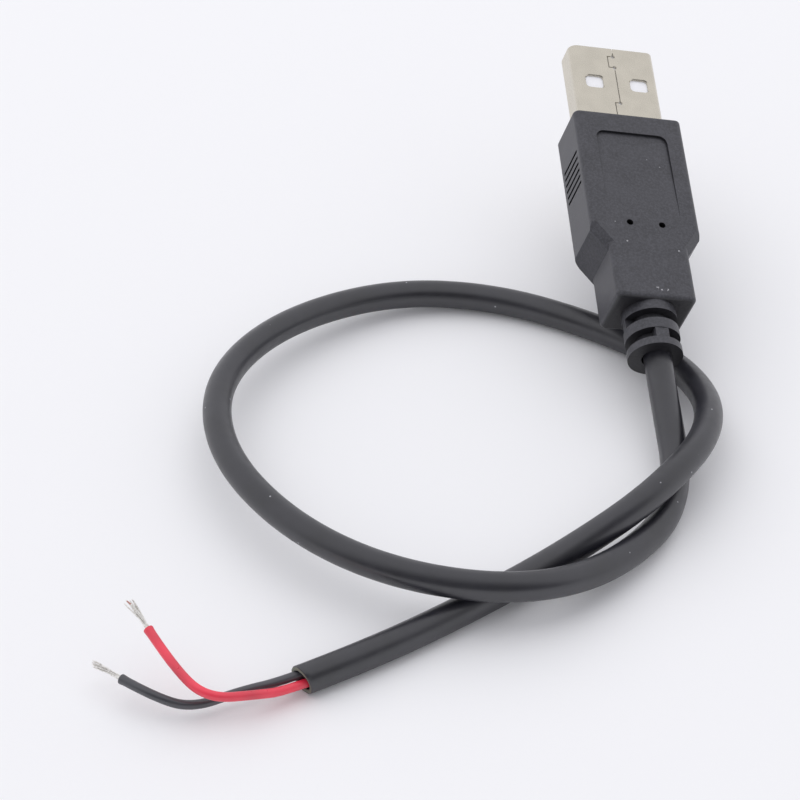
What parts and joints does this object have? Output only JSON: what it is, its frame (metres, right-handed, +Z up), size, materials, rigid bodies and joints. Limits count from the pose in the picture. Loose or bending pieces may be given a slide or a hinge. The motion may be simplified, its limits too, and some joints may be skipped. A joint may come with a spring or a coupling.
{
  "type": "usb power cable",
  "caption": "Short power lead: a flat moulded plug with a folded steel shell on a round two-core cord in one loop, its far end cut back to a red and a black stripped wire.",
  "frame": {"origin": "centre of the plug's open end, in the plane of the shell's front edge", "axes": "+Z up from the surface that the cord lies on, which is 21 mm below the origin; +Y level, within 5 degrees of the plug's length, towards its open end; +X to the right of it"},
  "size_m": [0.0748, 0.105, 0.0242],
  "materials": {
    "nickel_plated_steel": "nickel-plated folded sheet, satin",
    "contact_insulator": "white moulded plastic, satin",
    "gilt_contact": "gold-flashed stamped strip",
    "solder": "bright solder",
    "natural_polyethylene": "natural moulding",
    "black_moulding": "charcoal moulded PVC, fine matt texture",
    "black_jacket": "charcoal extruded PVC, satin",
    "red_insulation": "red extruded PVC, satin",
    "black_insulation": "black extruded PVC, satin",
    "tinned_copper": "tinned copper strands, bright"
  },
  "bodies": {
    "root": {"plug_shell": "nickel_plated_steel", "contact_carrier": "contact_insulator", "vbus_contact": "gilt_contact", "data_minus_contact": "gilt_contact", "data_plus_contact": "gilt_contact", "ground_contact": "gilt_contact", "red_solder_joint": "solder", "black_solder_joint": "solder", "red_lead": "red_insulation", "black_lead": "black_insulation", "red_lead_conductor": "tinned_copper", "black_lead_conductor": "tinned_copper", "inner_mould": "natural_polyethylene", "overmould": "black_moulding", "cord_jacket": "black_jacket", "red_wire": "red_insulation", "black_wire": "black_insulation", "red_strands": "tinned_copper", "black_strands": "tinned_copper"}
  },
  "joints": []
}
